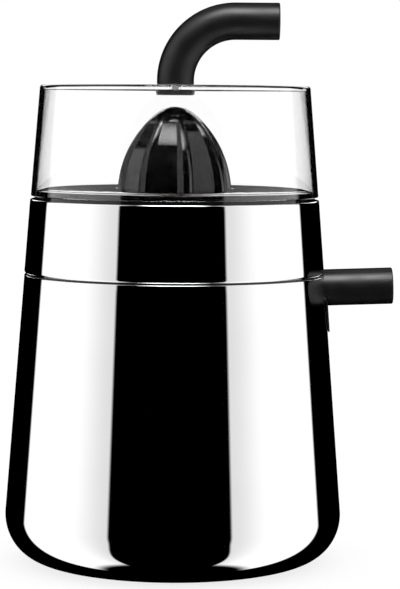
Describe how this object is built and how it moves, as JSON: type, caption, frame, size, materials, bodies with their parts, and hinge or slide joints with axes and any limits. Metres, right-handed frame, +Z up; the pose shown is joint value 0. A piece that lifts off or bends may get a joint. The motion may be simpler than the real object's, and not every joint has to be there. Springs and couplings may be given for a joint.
{
  "type": "citrus press",
  "caption": "Electric citrus press: tapered polished body, steel ring, black bowl with strainer and ribbed cone, clear lid with bent handle, tilting drip-stop spout.",
  "frame": {"origin": "on the upright axis of the round body, on the surface the press stands on", "axes": "+Z up, +X towards the spout and the handle's end, -Y towards the viewer"},
  "size_m": [0.2017, 0.1775, 0.2906],
  "materials": {
    "polished_steel": "mirror polished stainless steel",
    "black_chrome": "mirror polished, black nickel plated",
    "bright_steel": "bright machined steel",
    "bronze": "oiled sintered bronze or brass",
    "copper_wire": "enamelled copper",
    "magnet": "dark ferrite",
    "black_plastic": "moulded, satin",
    "soft_black": "fine matte texture",
    "gloss_black": "moulded, high gloss",
    "grey_plastic": "moulded, satin",
    "white_plastic": "moulded acetal",
    "black_rubber": "smooth rubber",
    "circuit_board": "fibre board with parts",
    "clear_plastic": "clear moulded plastic, polished"
  },
  "bodies": {
    "base": {"body_shell": "polished_steel", "shell_base": "polished_steel", "base_plate": "black_plastic", "foot_ring": "black_rubber", "tie_posts": "bright_steel", "base_screws": "bright_steel", "cord_gland": "black_plastic", "gland_nut": "black_plastic", "rectifier_board": "circuit_board", "deck": "black_plastic", "deck_screws": "bright_steel", "shaft_seal": "black_rubber", "gearbox_housing": "grey_plastic", "gearbox_cover": "grey_plastic", "gearbox_screws": "bright_steel", "idler_axle": "bright_steel", "thrust_washer": "bronze", "shaft_bush": "bronze", "microswitch": "black_plastic", "motor_can": "bright_steel", "motor_end_cap": "black_plastic", "motor_bushes": "bronze", "motor_magnets": "magnet"},
    "rotor": {"motor_shaft": "bright_steel", "armature_core": "bright_steel", "armature_windings": "copper_wire", "commutator": "copper_wire", "motor_pinion": "bronze"},
    "idler": {"idler_gear": "white_plastic"},
    "output": {"output_gear": "white_plastic", "return_spring": "bright_steel"},
    "shaft": {"drive_shaft": "bright_steel"},
    "button": {"switch_button": "white_plastic"},
    "bowl_assembly": {"bowl": "gloss_black", "bowl_flange": "gloss_black", "bowl_ring": "polished_steel", "spout_seat": "gloss_black", "spout_pivot_pins": "bright_steel", "spout_seal": "black_rubber"},
    "spout": {"spout_lever": "soft_black", "spout_tongue": "soft_black"},
    "strainer": {"strainer": "gloss_black"},
    "reamer": {"reamer": "gloss_black"},
    "lid_assembly": {"lid": "clear_plastic", "handle_gasket": "black_rubber", "handle": "soft_black", "handle_insert": "bronze", "clamp_disc": "black_chrome", "handle_screw": "bright_steel"}
  },
  "joints": [
    {"name": "rotor_spin", "type": "hinge", "parent": "base", "child": "rotor", "pos_m": [-0.0245, 0.03, 0.06], "axis": [0, 0, 1], "continuous": true},
    {"name": "idler_spin", "type": "hinge", "parent": "base", "child": "idler", "pos_m": [0, 0.03, 0.095], "axis": [0, 0, 1], "continuous": true},
    {"name": "output_spin", "type": "hinge", "parent": "base", "child": "output", "pos_m": [0, 0, 0.095], "axis": [0, 0, 1], "continuous": true},
    {"name": "shaft_press", "type": "slide", "parent": "output", "child": "shaft", "axis": [0, 0, 1], "range_m": [-0.0025, 0], "stiffness_N_per_m": 1500, "springref_m": 0.003, "deforming": ["return_spring"]},
    {"name": "button_press", "type": "slide", "parent": "base", "child": "button", "axis": [0, 0, 1], "range_m": [-0.0025, 0]},
    {"name": "bowl_lift", "type": "slide", "parent": "base", "child": "bowl_assembly", "axis": [0, 0, 1], "range_m": [0, 0.09]},
    {"name": "reamer_lift", "type": "slide", "parent": "shaft", "child": "reamer", "axis": [0, 0, 1], "range_m": [0, 0.09]},
    {"name": "spout_tilt", "type": "hinge", "parent": "bowl_assembly", "child": "spout", "pos_m": [0.075, 0, 0.1432], "axis": [0, -1, 0], "range_deg": [0, 15]},
    {"name": "strainer_lift", "type": "slide", "parent": "bowl_assembly", "child": "strainer", "axis": [0, 0, 1], "range_m": [0, 0.05]},
    {"name": "lid_lift", "type": "slide", "parent": "strainer", "child": "lid_assembly", "axis": [0, 0, 1], "range_m": [0, 0.06]}
  ],
  "couplings": [
    {"joint": "idler_spin", "follows": "rotor_spin", "ratio": -0.16667},
    {"joint": "output_spin", "follows": "rotor_spin", "ratio": 0.041667},
    {"joint": "button_press", "follows": "shaft_press", "ratio": 1},
    {"joint": "reamer_lift", "follows": "bowl_lift", "ratio": 1}
  ]
}
